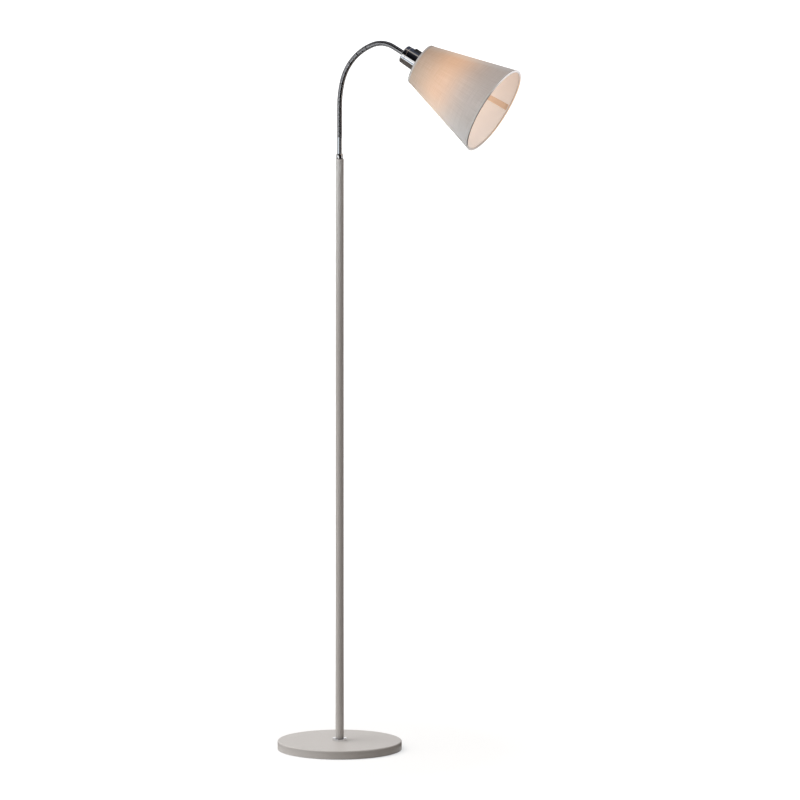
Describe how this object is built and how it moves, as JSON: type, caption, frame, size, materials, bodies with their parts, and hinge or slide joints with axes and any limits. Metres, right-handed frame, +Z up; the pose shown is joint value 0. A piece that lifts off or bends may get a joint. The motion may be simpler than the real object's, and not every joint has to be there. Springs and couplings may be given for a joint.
{
  "type": "gooseneck floor lamp",
  "caption": "Floor reading lamp: round weighted base, slim sectional pole, bendable wound gooseneck and a bright cup with a rocker switch under a conical cloth shade.",
  "frame": {"origin": "centre of the base's underside, on the floor", "axes": "+Z up along the pole; the gooseneck and the head lie in the XZ plane and reach towards +X"},
  "size_m": [0.4877, 0.24, 1.3966],
  "materials": {
    "greige_paint": "matte",
    "cast_iron": "matte",
    "pad_foam": "matte",
    "black_rubber": "matte",
    "bright_chrome": "polished",
    "zinc_steel": "satin",
    "white_wire": "satin",
    "flex_sheath": "satin",
    "black_plastic": "satin",
    "holder_plastic": "satin",
    "brass": "satin",
    "cap_metal": "satin",
    "opal_glass": "satin",
    "light_stick": "satin",
    "shade_cloth": "matte",
    "shade_lining": "matte",
    "seam_tape": "matte"
  },
  "bodies": {
    "root": {"base_cover": "greige_paint", "base_weight": "cast_iron", "base_pad": "pad_foam", "inlet_grommet": "black_rubber", "base_washer": "zinc_steel", "base_nut": "zinc_steel", "base_stud": "zinc_steel", "foot_flange": "bright_chrome", "pole_lower": "greige_paint", "pole_middle": "greige_paint", "pole_upper": "greige_paint", "pole_foot_bush": "zinc_steel", "pole_joiner_lower": "zinc_steel", "pole_joiner_upper": "zinc_steel", "pole_top_bush": "zinc_steel", "neck_collar": "bright_chrome", "neck_foot_ferrule": "bright_chrome", "neck_foot_coil": "bright_chrome", "mains_flex": "flex_sheath"},
    "neck_01": {"neck_link_01": "bright_chrome"},
    "neck_02": {"neck_link_02": "bright_chrome"},
    "neck_03": {"neck_link_03": "bright_chrome"},
    "neck_04": {"neck_link_04": "bright_chrome"},
    "neck_05": {"neck_link_05": "bright_chrome"},
    "neck_06": {"neck_link_06": "bright_chrome"},
    "neck_07": {"neck_link_07": "bright_chrome"},
    "neck_08": {"neck_link_08": "bright_chrome"},
    "neck_09": {"neck_link_09": "bright_chrome"},
    "neck_10": {"neck_link_10": "bright_chrome"},
    "neck_11": {"neck_link_11": "bright_chrome"},
    "head": {"neck_head_coil": "bright_chrome", "neck_head_ferrule": "bright_chrome", "neck_lock_nut": "zinc_steel", "cup_rear_cap": "bright_chrome", "cup_sleeve": "bright_chrome", "switch_body": "black_plastic", "rocker_bezel": "black_plastic", "rocker_pin": "zinc_steel", "lampholder_body": "holder_plastic", "lampholder_shell": "brass", "centre_contact": "brass", "terminal_screws": "zinc_steel", "shade_nut": "holder_plastic", "bulb_glass": "opal_glass", "bulb_cap": "cap_metal", "bulb_contact": "brass", "bulb_filament": "light_stick", "shade_carrier": "white_wire", "shade_bottom_ring": "white_wire", "shade_liner": "shade_lining", "shade_fabric": "shade_cloth", "shade_top_trim": "shade_cloth", "shade_bottom_trim": "shade_cloth", "shade_seam": "seam_tape"},
    "rocker": {"rocker": "black_plastic"}
  },
  "joints": [
    {"name": "neck_lower_bend", "type": "hinge", "parent": "root", "child": "neck_01", "pos_m": [0, 0, 1.21302], "axis": [0, 1, 0], "range_deg": [-15, 15], "deforming": ["mains_flex"]},
    {"name": "neck_side_bend", "type": "hinge", "parent": "neck_01", "child": "neck_02", "pos_m": [0, 0, 1.23647], "axis": [-1, 0, 0], "range_deg": [-18, 18], "deforming": ["mains_flex"]},
    {"name": "neck_lower_bend_2", "type": "hinge", "parent": "neck_02", "child": "neck_03", "pos_m": [0, 0, 1.25991], "axis": [0, 1, 0], "range_deg": [-15.01, 15.01], "deforming": ["mains_flex"]},
    {"name": "neck_side_bend_2", "type": "hinge", "parent": "neck_03", "child": "neck_04", "pos_m": [0.00115, 0, 1.28331], "axis": [-0.9946, 0, 0.104], "range_deg": [-18.01, 18.01], "deforming": ["mains_flex"]},
    {"name": "neck_middle_bend", "type": "hinge", "parent": "neck_04", "child": "neck_05", "pos_m": [0.00487, 0, 1.30645], "axis": [0, 1, 0], "range_deg": [-11.14, 5.5], "deforming": ["mains_flex"]},
    {"name": "neck_middle_bend_2", "type": "hinge", "parent": "neck_05", "child": "neck_06", "pos_m": [0.01181, 0, 1.3288], "axis": [0, 1, 0], "range_deg": [-12.08, 5.97], "deforming": ["mains_flex"]},
    {"name": "neck_middle_bend_3", "type": "hinge", "parent": "neck_06", "child": "neck_07", "pos_m": [0.02322, 0, 1.34923], "axis": [0, 1, 0], "range_deg": [-12.08, 5.97], "deforming": ["mains_flex"]},
    {"name": "neck_middle_bend_4", "type": "hinge", "parent": "neck_07", "child": "neck_08", "pos_m": [0.03865, 0, 1.36683], "axis": [0, 1, 0], "range_deg": [-12.08, 5.97], "deforming": ["mains_flex"]},
    {"name": "neck_upper_bend", "type": "hinge", "parent": "neck_08", "child": "neck_09", "pos_m": [0.05741, 0, 1.38081], "axis": [0, 1, 0], "range_deg": [-12.07, 2.5], "deforming": ["mains_flex"]},
    {"name": "neck_upper_bend_2", "type": "hinge", "parent": "neck_09", "child": "neck_10", "pos_m": [0.07884, 0, 1.3901], "axis": [0, 1, 0], "range_deg": [-24.89, 5.16], "deforming": ["mains_flex"]},
    {"name": "neck_upper_bend_3", "type": "hinge", "parent": "neck_10", "child": "neck_11", "pos_m": [0.10208, 0, 1.38999], "axis": [0, 1, 0], "range_deg": [-27.25, 5.65], "deforming": ["mains_flex"]},
    {"name": "head_side_bend", "type": "hinge", "parent": "neck_11", "child": "head", "pos_m": [0.12348, 0, 1.38061], "axis": [0.4617, 0, 0.887], "range_deg": [-25, 25], "deforming": ["mains_flex"]},
    {"name": "rocker_tip", "type": "hinge", "parent": "head", "child": "rocker", "pos_m": [0.16523, 0, 1.37911], "axis": [0, 1, 0], "range_deg": [-18, 0]}
  ],
  "couplings": [
    {"joint": "neck_lower_bend_2", "follows": "neck_lower_bend", "ratio": 1},
    {"joint": "neck_side_bend_2", "follows": "neck_side_bend", "ratio": 1},
    {"joint": "neck_middle_bend_2", "follows": "neck_middle_bend", "ratio": 1.0835},
    {"joint": "neck_middle_bend_3", "follows": "neck_middle_bend", "ratio": 1.0835},
    {"joint": "neck_middle_bend_4", "follows": "neck_middle_bend", "ratio": 1.0835},
    {"joint": "neck_upper_bend_2", "follows": "neck_upper_bend", "ratio": 2.0614},
    {"joint": "neck_upper_bend_3", "follows": "neck_upper_bend", "ratio": 2.2569}
  ]
}
